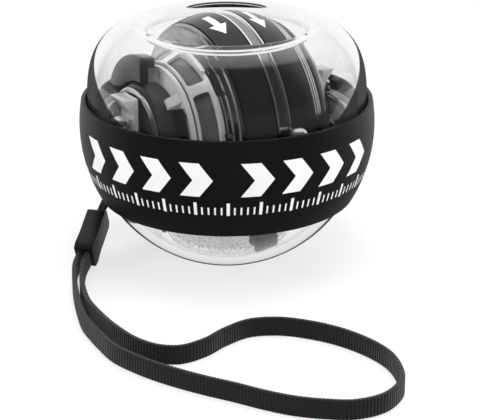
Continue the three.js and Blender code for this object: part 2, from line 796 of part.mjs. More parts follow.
place(axleGroup, 'axle', axle(), 'steel');
place(axleGroup, 'rotor_core', rotorCore(), 'steel');
place(axleGroup, 'centre_ring', centreRing(), 'chrome');
place(axleGroup, 'rotor_band_left', coverRing(-1), 'gloss');
place(axleGroup, 'rotor_band_right', coverRing(1), 'gloss');
place(axleGroup, 'shoulder_trim', shoulderTrim(), 'silver');
place(axleGroup, 'flank_ring', flankRing(), 'smoke');
place(axleGroup, 'end_frame', endFrame(), 'lightGrey');
place(axleGroup, 'end_cap_left', leftCap(), 'darkGrey');
place(axleGroup, 'end_cap_right', rightCap(), 'smoke');
place(axleGroup, 'spacer_right', spacer(), 'steel');

// Lanyard routes, chosen by hand, measured from the centre of the foot
const cordRoute = [
  [-21.7, 12.1, 14.85], [-23.2, 12.9, 13.75], [-24.6, 13.8, 12.7], [-26.4, 14.7, 11.35], [-27.6, 13.6, 10.8],
  [-28.3, 11.0, 10.8], [-29.1, 7.6, 10.7], [-30.1, 4.0, 10.3], [-31.0, 0.8, 9.6], [-31.7, -2.2, 8.55],
  [-32.0, -3.6, 7.95], [-32.3, -4.7, 7.95], [-32.4, -5.0, 8.4], [-32.3, -4.9, 9.1], [-32.2, -4.2, 9.6],
  [-31.9, -3.0, 10.25], [-31.2, 0.2, 11.3], [-30.6, 3.2, 11.8], [-29.9, 6.4, 11.9], [-29.1, 9.1, 11.6],
  [-27.9, 10.6, 11.65], [-26.4, 10.0, 12.7], [-24.8, 9.4, 13.75], [-23.3, 8.8, 14.85],
];
const strapRoute = [
  [-35.65, -14.8, 3.05], [-36.3, -17.4, 2.4], [-36.5, -21.0, 2.35], [-35.8, -30.0, 2.35],
  [-34.9, -36.1, 2.35], [-33.8, -42.1, 2.35], [-32.0, -49.7, 2.35],
  [-29.9, -54.8, 2.35], [-27.8, -59.2, 2.35], [-24.2, -65.6, 2.35], [-17.4, -72.3, 2.35],
  [-11.0, -76.9, 2.35], [-4.7, -80.6, 2.35], [1.4, -83.7, 2.35], [7.5, -87.1, 2.35], [13.5, -89.7, 2.35],
  [19.4, -91.0, 2.35], [25.4, -91.3, 2.35], [31.7, -88.3, 2.35], [35.6, -82.0, 2.35], [35.9, -76.5, 2.35],
  [34.4, -69.6, 2.35], [30.7, -63.6, 2.35], [24.6, -57.8, 2.35], [18.2, -54.2, 2.35], [11.6, -52.3, 2.35],
  [4.9, -53.1, 2.35], [-0.6, -57.6, 2.35], [-4.9, -62.8, 2.35], [-10.0, -66.2, 2.35], [-14.5, -65.9, 2.35],
  [-19.5, -62.6, 2.35], [-24.8, -55.6, 2.35], [-28.6, -48.8, 2.35], [-31.6, -42.1, 2.35],
  [-33.1, -36.1, 2.35], [-34.1, -30.0, 2.35], [-34.6, -21.0, 2.35],
  [-34.4, -17.6, 2.4], [-33.8, -15.2, 3.05],
];
const crimpTop = v3(-31.8, -2.6, 9.4);
const crimpBottom = v3(-34.65, -14.6, 3.25);

function smoothRoute(points) {
  return new THREE.CatmullRomCurve3(points.map((p) => v3(...p)), false, 'centripetal');
}

function lanyardCord() {
  const section = new THREE.Shape(circlePoints(cordRadius, cordSides));
  return swept(section, smoothRoute(cordRoute), 34, v3(0.56, 0, -0.76));
}

function cordKnot() {
  const at = holeDirection(holeAzimuth).multiplyScalar(knotReach);
  return closed(new THREE.SphereGeometry(knotRadius, 10, 7)).translate(at.x, at.y, at.z - lowerDrop);
}

function wristStrap() {
  const [w, h] = [strapThickness / 2, strapWidth / 2];
  return swept(polygon([[w, -h], [w, h], [-w, h], [-w, -h]]), smoothRoute(strapRoute), 76, v3(0, 0, 1));
}

// Crimp that grips the strap's two ends below and holds the cord's bight in a pocket above
function crimp() {
  const length = crimpTop.distanceTo(crimpBottom);
  const [half, wide] = [crimpHeight / 2, crimpHeight / 2 + crimpFlare];
  const [low, high] = [-length / 2, length / 2];
  const outline = [
    [half, low], [wide, low + length * crimpShares.flare], [half, low + length * crimpShares.body],
    [half, high - crimpRound], [half - crimpRound, high],
  ];
  const mirrored = outline.map(([x, y]) => [-x, y]).reverse();
  const body = extruded(polygon([...outline, ...mirrored]), crimpWidth).translate(0, 0, -crimpWidth / 2);
  const pocket = new THREE.BoxGeometry(pocketHeight, pocketDepth + overrun, pocketWidth)
    .translate(0, high - pocketDepth / 2 + overrun / 2, 0);
  return cut(body, [pocket]);
}

const lanyard = new THREE.Group();
ball.add(lanyard);
place(lanyard, 'lanyard_cord', lanyardCord(), 'woven');
place(lanyard, 'wrist_strap', wristStrap(), 'woven');
place(housing, 'cord_knot', cordKnot(), 'woven');
const crimpMesh = place(lanyard, 'lanyard_crimp', crimp(), 'black');
const along = crimpTop.clone().sub(crimpBottom).normalize();
const rise = v3(0, 0, 1).addScaledVector(along, -along.z).normalize();
crimpMesh.quaternion.setFromRotationMatrix(
  new THREE.Matrix4().makeBasis(rise, along, rise.clone().cross(along)));
crimpMesh.position.copy(crimpTop).lerp(crimpBottom, 0.5);

export default ball;
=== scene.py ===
"""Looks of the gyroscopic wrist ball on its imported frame: metres, +Z up, origin at the foot's centre."""
import math

import bmesh
import bpy
from mathutils import Matrix, Vector


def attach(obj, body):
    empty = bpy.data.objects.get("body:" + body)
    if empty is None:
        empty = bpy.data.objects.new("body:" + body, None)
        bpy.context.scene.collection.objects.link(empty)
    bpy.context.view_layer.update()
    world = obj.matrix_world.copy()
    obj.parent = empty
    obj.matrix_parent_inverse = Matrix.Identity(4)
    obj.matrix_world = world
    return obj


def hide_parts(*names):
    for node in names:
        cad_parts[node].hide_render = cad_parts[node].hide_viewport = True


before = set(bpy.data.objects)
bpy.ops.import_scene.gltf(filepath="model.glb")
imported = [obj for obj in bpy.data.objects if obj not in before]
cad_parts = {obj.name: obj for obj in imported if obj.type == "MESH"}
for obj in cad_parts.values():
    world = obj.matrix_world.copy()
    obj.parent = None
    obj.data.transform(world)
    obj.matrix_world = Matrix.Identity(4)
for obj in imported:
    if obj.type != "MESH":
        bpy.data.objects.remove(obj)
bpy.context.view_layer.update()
scene = bpy.context.scene

# Units, the angle from which an edge is sharp, how far a boring rod sticks out, and a shell's count of sides
MM = 0.001
TO_MM = 1000
TURN = 2 * math.pi
SHARP = math.radians(38)
OVERRUN = 1.0
SHELL_SIDES = 192

# Sizes of the housing in millimetres, as in the part's source; heights are from the ball's centre
GAP = 0.3
SHELL = 34.0
WALL = 2.0
INNER = SHELL - WALL
CROWN = 26.2
CROWN_POWER = 4
CROWN_WALL = 2.2
TURN_IN = 22.4
BEND = 2.5
LIP = 1.6
DROP = 1.5
FOOT = 12.5
FOOT_CHAMFER = 0.5
BASE_HOLE = 13.4
CENTRE = DROP + math.sqrt(SHELL ** 2 - FOOT ** 2)
RACE = 1.75
LEDGE = 1.5
LEDGE_RADIUS = 29.0
LEDGE_TOP = RACE + LEDGE
BOSS = 2.0
BOSS_HEIGHT = 1.4
BOSS_TOP = LEDGE_TOP + BOSS_HEIGHT
SCREW_COUNT = 4
FIRST_SCREW = math.radians(-57)
SCREW_SET_IN = 0.4
SCREW_CIRCLE = LEDGE_RADIUS + SCREW_SET_IN
SCREW_HEAD = 2.1
SCREW_HEAD_HEIGHT = 1.6
SHANK = 0.8
SHANK_LENGTH = 2.0
BAND = 36.0
BAND_TOP = 6.6
BAND_BOTTOM = -17.9

# Sizes of the lanyard and of its two holes in the bowl
HOLE = 1.0
HOLE_AZIMUTH = math.radians(155)
HOLE_SPREAD = math.radians(4.2)
HOLE_DROP = 19.0
KNOT = 1.4
STRAP_WIDTH = 4.4
STRAP_THICKNESS = 1.1
CORD_THICKNESS = 1.2

# Sizes of the rotor, its axle and the starter; places along the axle are from the ball's centre
ROTOR = 27.0
AXLE_ANGLE = math.radians(30)
AXLE_BORE = 2.3
BLOCK_HALF_WIDTH = 3.4
BLOCK_THICKNESS = 1.3
PLATE_CLEARANCE = 0.45
PLATE_THICKNESS = 1.1
PLATE_STEP = 0.7
PAWL_WIDTH = 2.8
PAWL_EDGE = 0.9
DRUM_LENGTH = 5.4
DRUM_WALL = 1.2
DRUM_CHAMFER = 0.6
RIM_THICKNESS = 0.5
RIM_WIDTH = 1.4
FRAME_LENGTH = 5.0
FRAME_STEP = 0.2
FRAME_THICKNESS = 1.0
TRIM_WIDTH = 2.2
TRIM_GROOVE = 0.4
CAP_LENGTH = 6.6
CENTRE_HALF = 1.8
CENTRE_GROOVE = 0.6
COVER_DEPTH = 4.9
FLANK_WALL = 1.0
RING_RUNNING = 1.8
RING_WIDTH = 2.1
BLOCK_FACE = math.sqrt((SCREW_CIRCLE - SCREW_HEAD - GAP) ** 2 - BLOCK_HALF_WIDTH ** 2) - BLOCK_THICKNESS
DRUM_END = BLOCK_FACE - PLATE_CLEARANCE - RIM_THICKNESS - GAP
DRUM_START = DRUM_END - DRUM_LENGTH
PLATE_START = DRUM_START - GAP - PLATE_THICKNESS
FRAME_END = PLATE_START - PLATE_CLEARANCE
FRAME_START = FRAME_END - FRAME_LENGTH
TRIM_END = FRAME_START - GAP
COVER_END = TRIM_END - TRIM_WIDTH - GAP
CAP_END = FRAME_START + CAP_LENGTH
CORE = math.sqrt(ROTOR ** 2 - TRIM_END ** 2) - COVER_DEPTH
FLANK = CORE + FLANK_WALL
FRAME_OUTER = FLANK - FRAME_STEP
RING_INNER = INNER - RING_RUNNING - RING_WIDTH
RIM_START = DRUM_END + GAP
RIM_END = RIM_START + RIM_THICKNESS
RIM = math.sqrt((RING_INNER - GAP) ** 2 - RIM_END ** 2)
DRUM = RIM + DRUM_CHAMFER
PLATE = DRUM + 2 * GAP + PAWL_WIDTH + PAWL_EDGE
FRAME_INNER = PLATE + PLATE_STEP

# Sizes of the base under the rotor; heights are from the ball's centre
BASE_FLOOR = 1.6
BASE_WALL = 1.4
BASE_FLANGE = 0.9
DISC_THICKNESS = 0.75
DISC_TOP = -ROTOR - GAP
DISC_BOTTOM = DISC_TOP - DISC_THICKNESS
FLANGE_TOP = DISC_BOTTOM - GAP
FLANGE_BOTTOM = FLANGE_TOP - BASE_FLANGE
FLANGE = math.sqrt(INNER ** 2 - (FLANGE_BOTTOM - GAP + DROP) ** 2)

# From a piece drawn about +Z to one drawn about the axle: +X becomes up, and +Y the side towards the viewer
ALONG_AXLE = Matrix((
    (0, math.sin(AXLE_ANGLE), math.cos(AXLE_ANGLE), 0),
    (0, -math.cos(AXLE_ANGLE), math.sin(AXLE_ANGLE), 0),
    (1, 0, 0, CENTRE * MM),
    (0, 0, 0, 1),
))
UPRIGHT = Matrix.Translation((0, 0, CENTRE * MM))


# Camera

def aim_camera():
    """Looks down on the ball from the front, as the photograph does."""
    pitch, yaw = math.radians(-21.2097), math.radians(0.4723)
    forward = Vector((math.cos(pitch) * math.sin(yaw), math.cos(pitch) * math.cos(yaw), math.sin(pitch)))
    lens = bpy.data.cameras.new("viewpoint")
    lens.sensor_width = 36
    lens.lens = 123.3
    lens.clip_start = 0.01
    lens.clip_end = 50
    camera = bpy.data.objects.new("viewpoint", lens)
    camera.location = (0, -0.38305, 0.1584)
    camera.rotation_euler = forward.to_track_quat('-Z', 'Y').to_euler()
    scene.collection.objects.link(camera)
    scene.camera = camera


aim_camera()


# Node graphs

class Wire:
    """One output of a node. Arithmetic on it adds the Math nodes that carry it out."""

    def __init__(self, graph, socket):
        self.graph = graph
        self.socket = socket

    def __getitem__(self, name):
        return Wire(self.graph, self.socket.node.outputs[name])

    def maths(self, operation, *values):
        return self.graph.node('ShaderNodeMath', {'operation': operation}, dict(enumerate(values)))

    def __add__(self, other):
        return self.maths('ADD', self, other)

    __radd__ = __add__

    def __sub__(self, other):
        return self.maths('SUBTRACT', self, other)

    def __rsub__(self, other):
        return self.maths('SUBTRACT', other, self)

    def __mul__(self, other):
        return self.maths('MULTIPLY', self, other)

    __rmul__ = __mul__

    def __truediv__(self, other):
        return self.maths('DIVIDE', self, other)

    def __mod__(self, other):
        return self.maths('FLOORED_MODULO', self, other)

    def __gt__(self, other):
        return self.maths('GREATER_THAN', self, other)

    def __lt__(self, other):
        return self.maths('LESS_THAN', self, other)

    def __abs__(self):
        return self.maths('ABSOLUTE', self)

    def between(self, low, high):
        return (self > low) * (self < high)

    def sine(self):
        return self.maths('SINE', self)


class Graph:
    """Adds nodes to one tree: a node's type, its settings, then the values or wires of its inputs."""

    def __init__(self, tree):
        self.tree = tree

    def node(self, kind, settings=None, inputs=None):
        node = self.tree.nodes.new(kind)
        for key, value in (settings or {}).items():
            setattr(node, key, value)
        for key, value in (inputs or {}).items():
            if isinstance(value, Wire):
                self.tree.links.new(value.socket, node.inputs[key])
            else:
                node.inputs[key].default_value = value
        return Wire(self, next((o for o in node.outputs if o.enabled), None))


class Finish(Graph):
    """A procedural material."""

    def __init__(self, name):
        self.material = bpy.data.materials.new(name)
        self.material.use_nodes = True
        super().__init__(self.material.node_tree)
        self.tree.nodes.clear()

    def place(self, turn=0.0):
        """Object coordinates, turned about +Z to follow the axle where a turn is given."""
        at = self.node('ShaderNodeTexCoord')['Object']
        if turn:
            at = self.node('ShaderNodeMapping', {'vector_type': 'TEXTURE'}, {
                'Vector': at, 'Location': (0, 0, CENTRE * MM), 'Rotation': (0, 0, turn)})
        return at

    def turn_map(self):
        """The map of a turned piece: X is a share of a turn and Y the height, in metres."""
        uv = self.node('ShaderNodeUVMap', {'uv_map': "turn"})
        return self.node('ShaderNodeSeparateXYZ', None, {0: uv})

    def noise(self, at, scale, detail=2.0, roughness=0.5):
        return self.node('ShaderNodeTexNoise', None, {
            'Vector': at, 'Scale': scale, 'Detail': detail, 'Roughness': roughness})

    def span(self, value, low, high, to_low, to_high):
        return self.node('ShaderNodeMapRange', {'clamp': True}, {
            0: value, 1: low, 2: high, 3: to_low, 4: to_high})

    def blend(self, share, first, second):
        return self.node('ShaderNodeMix', {'data_type': 'RGBA'}, {
            0: share, 6: (*first, 1) if isinstance(first, tuple) else first,
            7: (*second, 1) if isinstance(second, tuple) else second})

    def bump(self, height, depth_mm, strength=1.0):
        return self.node('ShaderNodeBump', None, {
            'Height': height, 'Distance': depth_mm * MM, 'Strength': strength})

    def surface(self, base, roughness, normal=None, **plain):
        inputs = {'Base Color': (*base, 1) if isinstance(base, tuple) else base, 'Roughness': roughness}
        if normal is not None:
            inputs['Normal'] = normal
        inputs.update({key.replace('_', ' '): value for key, value in plain.items()})
        return self.node('ShaderNodeBsdfPrincipled', None, inputs)

    def done(self, shader):
        self.node('ShaderNodeOutputMaterial', None, {'Surface': shader})
        return self.material

    def see_through(self, shader):
        """Lets the lamps' light through a clear wall, and lets out light that the wall would trap."""
        light = self.node('ShaderNodeLightPath')
        entered_and_mirrored = (light['Transmission Depth'] > 0.5) * (light['Glossy Depth'] > 0.5)
        trapped = entered_and_mirrored * (1 - light['Is Transmission Ray'])
        unbent = trapped.maths('MAXIMUM', light['Is Shadow Ray'], trapped)
        film = self.node('ShaderNodeBsdfTransparent', None, {'Color': (0.93, 0.93, 0.93, 1)})
        return self.done(self.node('ShaderNodeMixShader', None, {0: unbent, 1: shader, 2: film}))


class Recipe(Graph):
    """A Geometry Nodes tree with named inputs, run once on a mesh or curve."""

    KINDS = {float: 'NodeSocketFloat', int: 'NodeSocketInt'}

    def __init__(self, name, sizes):
        super().__init__(bpy.data.node_groups.new(name, 'GeometryNodeTree'))
        face = self.tree.interface
        face.new_socket('Geometry', in_out='OUTPUT', socket_type='NodeSocketGeometry')
        face.new_socket('Geometry', in_out='INPUT', socket_type='NodeSocketGeometry')
        self.sizes = sizes
        self.keys = {}
        for key, value in sizes.items():
            socket = face.new_socket(key, in_out='INPUT', socket_type=self.KINDS[type(value)])
            self.keys[key] = socket.identifier
        self.entry = self.node('NodeGroupInput')

    def size(self, key):
        return self.entry[key]

    def finish(self, geometry, material):
        solid = self.node('GeometryNodeRealizeInstances', None, {0: geometry})
        solid = self.node('GeometryNodeSetMaterial', None, {'Geometry': solid, 'Material': material})
        self.node('NodeGroupOutput', None, {0: solid})

    def run(self, name, data):
        """The recipe's result on a mesh or curve, as a plain mesh."""
        host = bpy.data.objects.new(name + "_host", data)
        scene.collection.objects.link(host)
        modifier = host.modifiers.new("recipe", 'NODES')
        modifier.node_group = self.tree
        for key, value in self.sizes.items():
            modifier[self.keys[key]] = value
        mesh = bpy.data.meshes.new_from_object(host.evaluated_get(bpy.context.evaluated_depsgraph_get()))
        mesh.name = name
        host.modifiers.clear()
        bpy.data.objects.remove(host)
        return mesh


# Finishes

def clear_plastic(name, low, high):
    """Clear moulded plastic, with painted shade where its outer face is seen edge-on, in the place of the
    dark edges that a thick clear wall shows. low and high each give a height over the ball's centre and how
    far from face-on the painted shade begins there."""
    tint, rough, ripple_mm = (0.99, 0.993, 0.993), 0.01, 0.004
    fade, darkest = 0.03, 0.95
    f = Finish(name)
    at = f.place()
    haze = f.span(f.noise(at, 60, 3), 0.35, 0.7, rough, rough * 2.5)
    normal = f.bump(f.noise(at, 45, 1), ripple_mm)
    clear = f.surface(tint, haze, normal, Transmission_Weight=1.0, IOR=1.49)
    dark = f.surface((0.02, 0.02, 0.021), 0.3, Specular_IOR_Level=0.0, IOR=1.0)
    facing = f.node('ShaderNodeLayerWeight', None, {'Blend': 0.5})['Facing']
    height = f.node('ShaderNodeSeparateXYZ', None, {0: at})['Z']
    limit = f.span(height, (CENTRE + low[0]) * MM, (CENTRE + high[0]) * MM, low[1], high[1])
    first_face = f.node('ShaderNodeLightPath')['Transmission Depth'] < 0.5
    # painted shade: the first face met turns near black where it is seen edge-on
    painted_edge_shade = f.span(facing - limit, 0.0, fade, 0.0, darkest) * first_face
    return f.see_through(f.node('ShaderNodeMixShader', None, {0: painted_edge_shade, 1: clear, 2: dark}))


def frosted_plastic():
    """Speckled frosted plastic. Its faint glow stands for the light that it passes on from below."""
    f = Finish("frosted_speckle")
    at = f.place()
    cells = f.node('ShaderNodeTexVoronoi', None, {'Vector': at, 'Scale': 1500})['Distance']
    grain = f.noise(at, 1800, 2)
    tone = f.span(cells + grain * 0.5, 0.35, 1.0, 0.0, 1.0)
    base = f.blend(tone, (0.35, 0.355, 0.36), (0.95, 0.95, 0.95))
    return f.done(f.surface(base, f.span(grain, 0.3, 0.7, 0.4, 0.6), f.bump(cells, 0.12, 0.8),
                            Emission_Color=base, Emission_Strength=0.5))


def grip_silicone():
    """Matt black silicone with the white print on it a little raised and smoother."""
    f = Finish("printed_silicone")
    uv = f.turn_map()
    around = (uv['X'] - 0.5) * (TURN * BAND)
    height = uv['Y'] * TO_MM
    print_mask = big_marks(around, height) + tick_marks(around, height)
    at = f.place()
    grain = f.noise(at, 2600, 3, 0.6)
    wide = f.noise(at, 90, 3)
    rubber = f.blend(f.span(wide, 0.3, 0.7, 0, 1), (0.003, 0.003, 0.0031), (0.005, 0.005, 0.0052))
    ink = f.blend(f.span(grain, 0.3, 0.7, 0, 1), (0.80, 0.80, 0.80), (0.88, 0.88, 0.88))
    base = f.blend(print_mask, rubber, ink)
    rough = f.span(grain, 0.3, 0.7, 0.47, 0.56) - print_mask * 0.1
    normal = f.bump(grain * 0.12 + print_mask * 0.5, 0.05, 0.5)
    return f.done(f.surface(base, rough, normal, IOR=1.45, Specular_IOR_Level=0.5))


def big_marks(around, height):
    """Two rows of four bold chevrons on each side of the ball, in the place of the words."""
    middle, half, slope, stroke, pitch, count = -2.55, 4.1, 0.78, 4.7, 9.85, 4
    left, right, half_turn = -40.7, 3.1, math.pi * BAND
    lean = abs(height - middle)
    in_row = lean < half
    marks = None
    for start in (left, right, left + half_turn, right - half_turn):
        along = around - start
        across = along % pitch + lean * slope - half * slope
        row = across.between(0, stroke) * along.between(0, count * pitch)
        marks = row if marks is None else marks + row
    return marks * in_row


def tick_marks(around, height):
    """A fine scale under the chevrons: a tall tick after every four short ones."""
    short_width, short_foot, short_top = 0.42, -11.4, -9.4
    tall_width, tall_foot, tall_top = 0.78, -11.6, -8.2
    pitch, lead = 1.57, (tall_width - short_width) / 2
    short = (around % pitch < short_width) * height.between(short_foot, short_top)
    tall = ((around + lead) % (5 * pitch) < tall_width) * height.between(tall_foot, tall_top)
    return short.maths('MAXIMUM', short, tall)


def rotor_cover():
    """Gloss black plastic with a white arrow along the middle of the cover in each quarter turn."""
    f = Finish("arrowed_cover")
    uv = f.turn_map()
    quarter = TURN * ROTOR / 4
    shift, lead, middle = 20, 1.2, 5.35
    shaft_end, shaft_half = 6.4, 0.85
    head_start, tip, head_slope = 6.2, 10.6, 0.5
    along = (uv['X'] * (TURN * ROTOR) + shift) % quarter - shift + lead
    off = abs(abs(uv['Y'] * TO_MM) - middle)
    shaft = along.between(0, shaft_end) * (off < shaft_half)
    head = along.between(head_start, tip) * (off < (tip - along) * head_slope)
    arrow = shaft.maths('MAXIMUM', shaft, head)
    sweep = f.noise(f.place(AXLE_ANGLE), 40, 2)
    base = f.blend(arrow, (0.012, 0.012, 0.0125), (0.83, 0.83, 0.83))
    rough = f.span(sweep, 0.3, 0.7, 0.13, 0.2) + arrow * 0.25
    return f.done(f.surface(base, rough, f.bump(arrow, 0.03, 0.4), Specular_IOR_Level=0.4))


def turned_metal(name, base, rough, line_scale=3000.0, metal=1.0):
    """Metal or metal plating with fine lines round the axle."""
    f = Finish(name)
    stretched = f.node('ShaderNodeVectorMath', {'operation': 'MULTIPLY'}, {
        0: f.place(AXLE_ANGLE), 1: (1, 0.02, 0.02)})
    lines = f.noise(stretched, line_scale, 2)
    tone = f.blend(f.span(lines, 0.3, 0.7, 0, 1), tuple(c * 0.86 for c in base), base)
    return f.done(f.surface(tone, f.span(lines, 0.25, 0.75, rough, rough * 1.8), f.bump(lines, 0.01, 0.4),
                            Metallic=metal))


def grooved_plating(name, base, groove, groove_half, rough):
    """Bright plating round the axle with a dark groove between its two edges."""
    f = Finish(name)
    edge = 0.08
    off = abs(f.turn_map()['Y'] * TO_MM)
    lines = f.noise(f.place(AXLE_ANGLE), 300, 2)
    tone = f.blend(f.span(off, groove_half, groove_half + edge, 0, 1), groove, base)
    return f.done(f.surface(tone, f.span(lines, 0.25, 0.75, rough, rough * 1.5), Metallic=1.0))


def satin_plastic(name, base, rough, **plain):
    """Moulded plastic with a fine grain and a faint cloud in its colour."""
    f = Finish(name)
    at = f.place()
    grain = f.noise(at, 2200, 2)
    cloud = f.noise(at, 120, 2)
    tone = f.blend(f.span(cloud, 0.3, 0.7, 0, 1), tuple(c * 0.88 for c in base), base)
    return f.done(f.surface(tone, f.span(grain, 0.3, 0.7, rough * 0.9, rough * 1.15),
                            f.bump(grain, 0.01, 0.5), **plain))


def woven(name, pitch, across_pitch, base):
    """Woven or braided nylon, whose threads cross over each other along the piece's own coordinates."""
    f = Finish(name)
    way = f.node('ShaderNodeAttribute', {'attribute_name': "weave"})['Vector']
    way = f.node('ShaderNodeSeparateXYZ', None, {0: way})
    along, across = way['X'] * (TURN / pitch / 2), way['Y'] * (TURN / across_pitch)
    ribs = (way['X'] * (TURN / pitch)).sine() * 0.5 + 0.5
    twill = (along + across).sine() * (along - across).sine() * 0.5 + 0.5
    fibre = f.noise(f.place(), 5000, 2)
    weave = ribs * 0.45 + twill * 0.4 + fibre * 0.3
    tone = f.blend(f.span(weave, 0.2, 1.0, 0, 1), tuple(c * 0.45 for c in base), base)
    return f.done(f.surface(tone, f.span(fibre, 0.3, 0.7, 0.6, 0.8), f.bump(weave, 0.12, 0.7),
                            Sheen_Weight=0.25, Sheen_Roughness=0.4))


# Both clear finishes carry painted shade where their outer faces are seen edge-on
CLEAR = clear_plastic("clear_shell_plastic", (4, 0.27), (25, 1.02))
CLEAR_BOWL = clear_plastic("clear_bowl_plastic", (-28, 0.86), (-15, 0.78))
PALE = satin_plastic("pale_block_plastic", (0.8, 0.805, 0.81), 0.12, Coat_Weight=0.6, Coat_Roughness=0.04)
FROSTED = frosted_plastic()
SILICONE = grip_silicone()
COVER = rotor_cover()
CHROME = turned_metal("bright_plating", (0.88, 0.885, 0.89), 0.07)
SILVER = turned_metal("turned_silver", (0.72, 0.725, 0.73), 0.16)
POLISHED = turned_metal("polished_steel", (0.86, 0.865, 0.87), 0.2, 300.0)
GROOVED = grooved_plating("grooved_plating", (0.88, 0.885, 0.89), (0.3, 0.3, 0.305), 1.1, 0.1)
STEEL = turned_metal("turned_steel", (0.5, 0.505, 0.51), 0.25)
SMOKE = turned_metal("smoked_gloss", (0.10, 0.10, 0.105), 0.08, 1600.0, metal=0.75)
STREAKED = turned_metal("streaked_flank", (0.4, 0.4, 0.405), 0.1, 700.0)
BLACK = satin_plastic("satin_black", (0.008, 0.008, 0.0085), 0.3, Specular_IOR_Level=0.3)
HOOD = satin_plastic("glossy_hood_plastic", (0.022, 0.022, 0.0225), 0.16, Specular_IOR_Level=0.4)
DARK = satin_plastic("dark_drum_plastic", (0.038, 0.038, 0.04), 0.36, Specular_IOR_Level=0.3)
LIGHT = satin_plastic("light_grey_plastic", (0.68, 0.68, 0.69), 0.3)
PANE = satin_plastic("dark_pane_plastic", (0.135, 0.135, 0.138), 0.3, Specular_IOR_Level=0.3)
CORD = woven("braided_cord", 1.1, 0.33, (0.012, 0.012, 0.0125))
WEBBING = woven("woven_webbing", 0.8, 1.1, (0.014, 0.014, 0.0145))


# Solids

def rounded(profile, radius, steps=4):
    """A closed profile with its corners rounded, where it turns by more than a curve's own points do."""
    nearly_straight, most_of_side, tiny = math.radians(165), 0.45, 1e-6
    points = []
    for i, corner in enumerate(profile):
        before, after = profile[i - 1], profile[(i + 1) % len(profile)]
        p, a, b = Vector(corner), Vector(before), Vector(after)
        u, v = a - p, b - p
        if corner[0] < tiny or min(u.length, v.length) < tiny or u.angle(v) > nearly_straight:
            points.append(tuple(corner))
            continue
        reach = min(radius / math.tan(u.angle(v) / 2), most_of_side * u.length, most_of_side * v.length)
        first, last = p + u.normalized() * reach, p + v.normalized() * reach
        for k in range(steps + 1):
            t = k / steps
            points.append(tuple(first * (1 - t) ** 2 + p * 2 * t * (1 - t) + last * t ** 2))
    return points


def turned(name, profile, sides=160, place=UPRIGHT, start=0.0):
    """A profile of (radius, height) turned about +Z and put in place, with a map of turns and heights."""
    tiny = 1e-6
    area = sum(a[0] * b[1] - b[0] * a[1] for a, b in zip(profile, profile[1:] + profile[:1]))
    if area < 0:
        profile = profile[::-1]
    mesh = bpy.data.meshes.new(name)
    work = bmesh.new()
    uv = work.loops.layers.uv.new("turn")
    rings = []
    for i in range(sides):
        angle = start + i * TURN / sides
        rings.append([work.verts.new((r * math.cos(angle) * MM, r * math.sin(angle) * MM, z * MM))
                      for r, z in profile])
    for i in range(sides):
        for k, (r, _) in enumerate(profile):
            n = (k + 1) % len(profile)
            if r < tiny and profile[n][0] < tiny:
                continue
            corners = [(i, k), (i + 1, k), (i + 1, n), (i, n)]
            face = work.faces.new([rings[a % sides][b] for a, b in corners])
            face.smooth = True
            for loop, (a, b) in zip(face.loops, corners):
                loop[uv].uv = (a / sides, profile[b][1] * MM)
    bmesh.ops.remove_doubles(work, verts=work.verts, dist=1e-7)
    work.to_mesh(mesh)
    work.free()
    mesh.set_sharp_from_angle(angle=SHARP)
    mesh.transform(place)
    return mesh


def rod(radius, low, high, place):
    """A plain rod about +Z, to join to a shell or to bore it with."""
    return turned("rod", [(0, low), (radius, low), (radius, high), (0, high)], sides=32, place=place)


def eased(name, node, radius, segments=2):
    """A copy of a solid from the frame, with its flat faces whole again and its edges eased."""
    flat, edge = math.radians(1), math.radians(30)
    work = bmesh.new()
    work.from_mesh(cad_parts[node].data)
    bmesh.ops.remove_doubles(work, verts=work.verts, dist=2e-6)
    bmesh.ops.dissolve_limit(work, angle_limit=flat, verts=work.verts, edges=work.edges)
    edges = [e for e in work.edges if len(e.link_faces) == 2 and e.calc_face_angle() > edge]
    bmesh.ops.bevel(work, geom=edges, offset=radius * MM, segments=segments, profile=0.5, affect='EDGES',
                    clamp_overlap=True)
    for face in work.faces:
        face.smooth = True
    mesh = bpy.data.meshes.new(name)
    work.to_mesh(mesh)
    work.free()
    mesh.set_sharp_from_angle(angle=SHARP)
    return mesh


def shaped(name, mesh, *steps):
    """A mesh with others joined to it or cut from it, by steps of an operation and a mesh."""
    host = bpy.data.objects.new(name + "_host", mesh)
    scene.collection.objects.link(host)
    tools = []
    for operation, tool in steps:
        tools.append(bpy.data.objects.new(name + "_tool", tool))
        scene.collection.objects.link(tools[-1])
        modifier = host.modifiers.new(operation, 'BOOLEAN')
        modifier.operation = operation
        modifier.object = tools[-1]
    result = bpy.data.meshes.new_from_object(host.evaluated_get(bpy.context.evaluated_depsgraph_get()))
    result.name = name
    host.modifiers.clear()
    for obj in (host, *tools):
        bpy.data.objects.remove(obj)
    result.set_sharp_from_angle(angle=SHARP)
    return result


def add(name, mesh, body, material, stands_for):
    """Puts a finished mesh in the scene, on its body and in the place of its solids."""
    obj = bpy.data.objects.new(name, mesh)
    scene.collection.objects.link(obj)
    mesh.materials.clear()
    mesh.materials.append(material)
    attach(obj, body)
    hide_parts(*stands_for)
    return obj


def add_eased(name, node, body, material, radius, segments=2):
    """Adds a solid of the frame with its edges eased."""
    return add(name, eased(name, node, radius, segments), body, material, [node])


def add_on_axle(name, profile, body, material, node, sides=160, corner=0.12):
    """Adds a piece turned about the axle, from its profile of (place along the axle, radius)."""
    outline = rounded([(radius, along) for along, radius in profile], corner)
    add(name, turned(name, outline, sides, ALONG_AXLE), body, material, [node])


# Lanyard

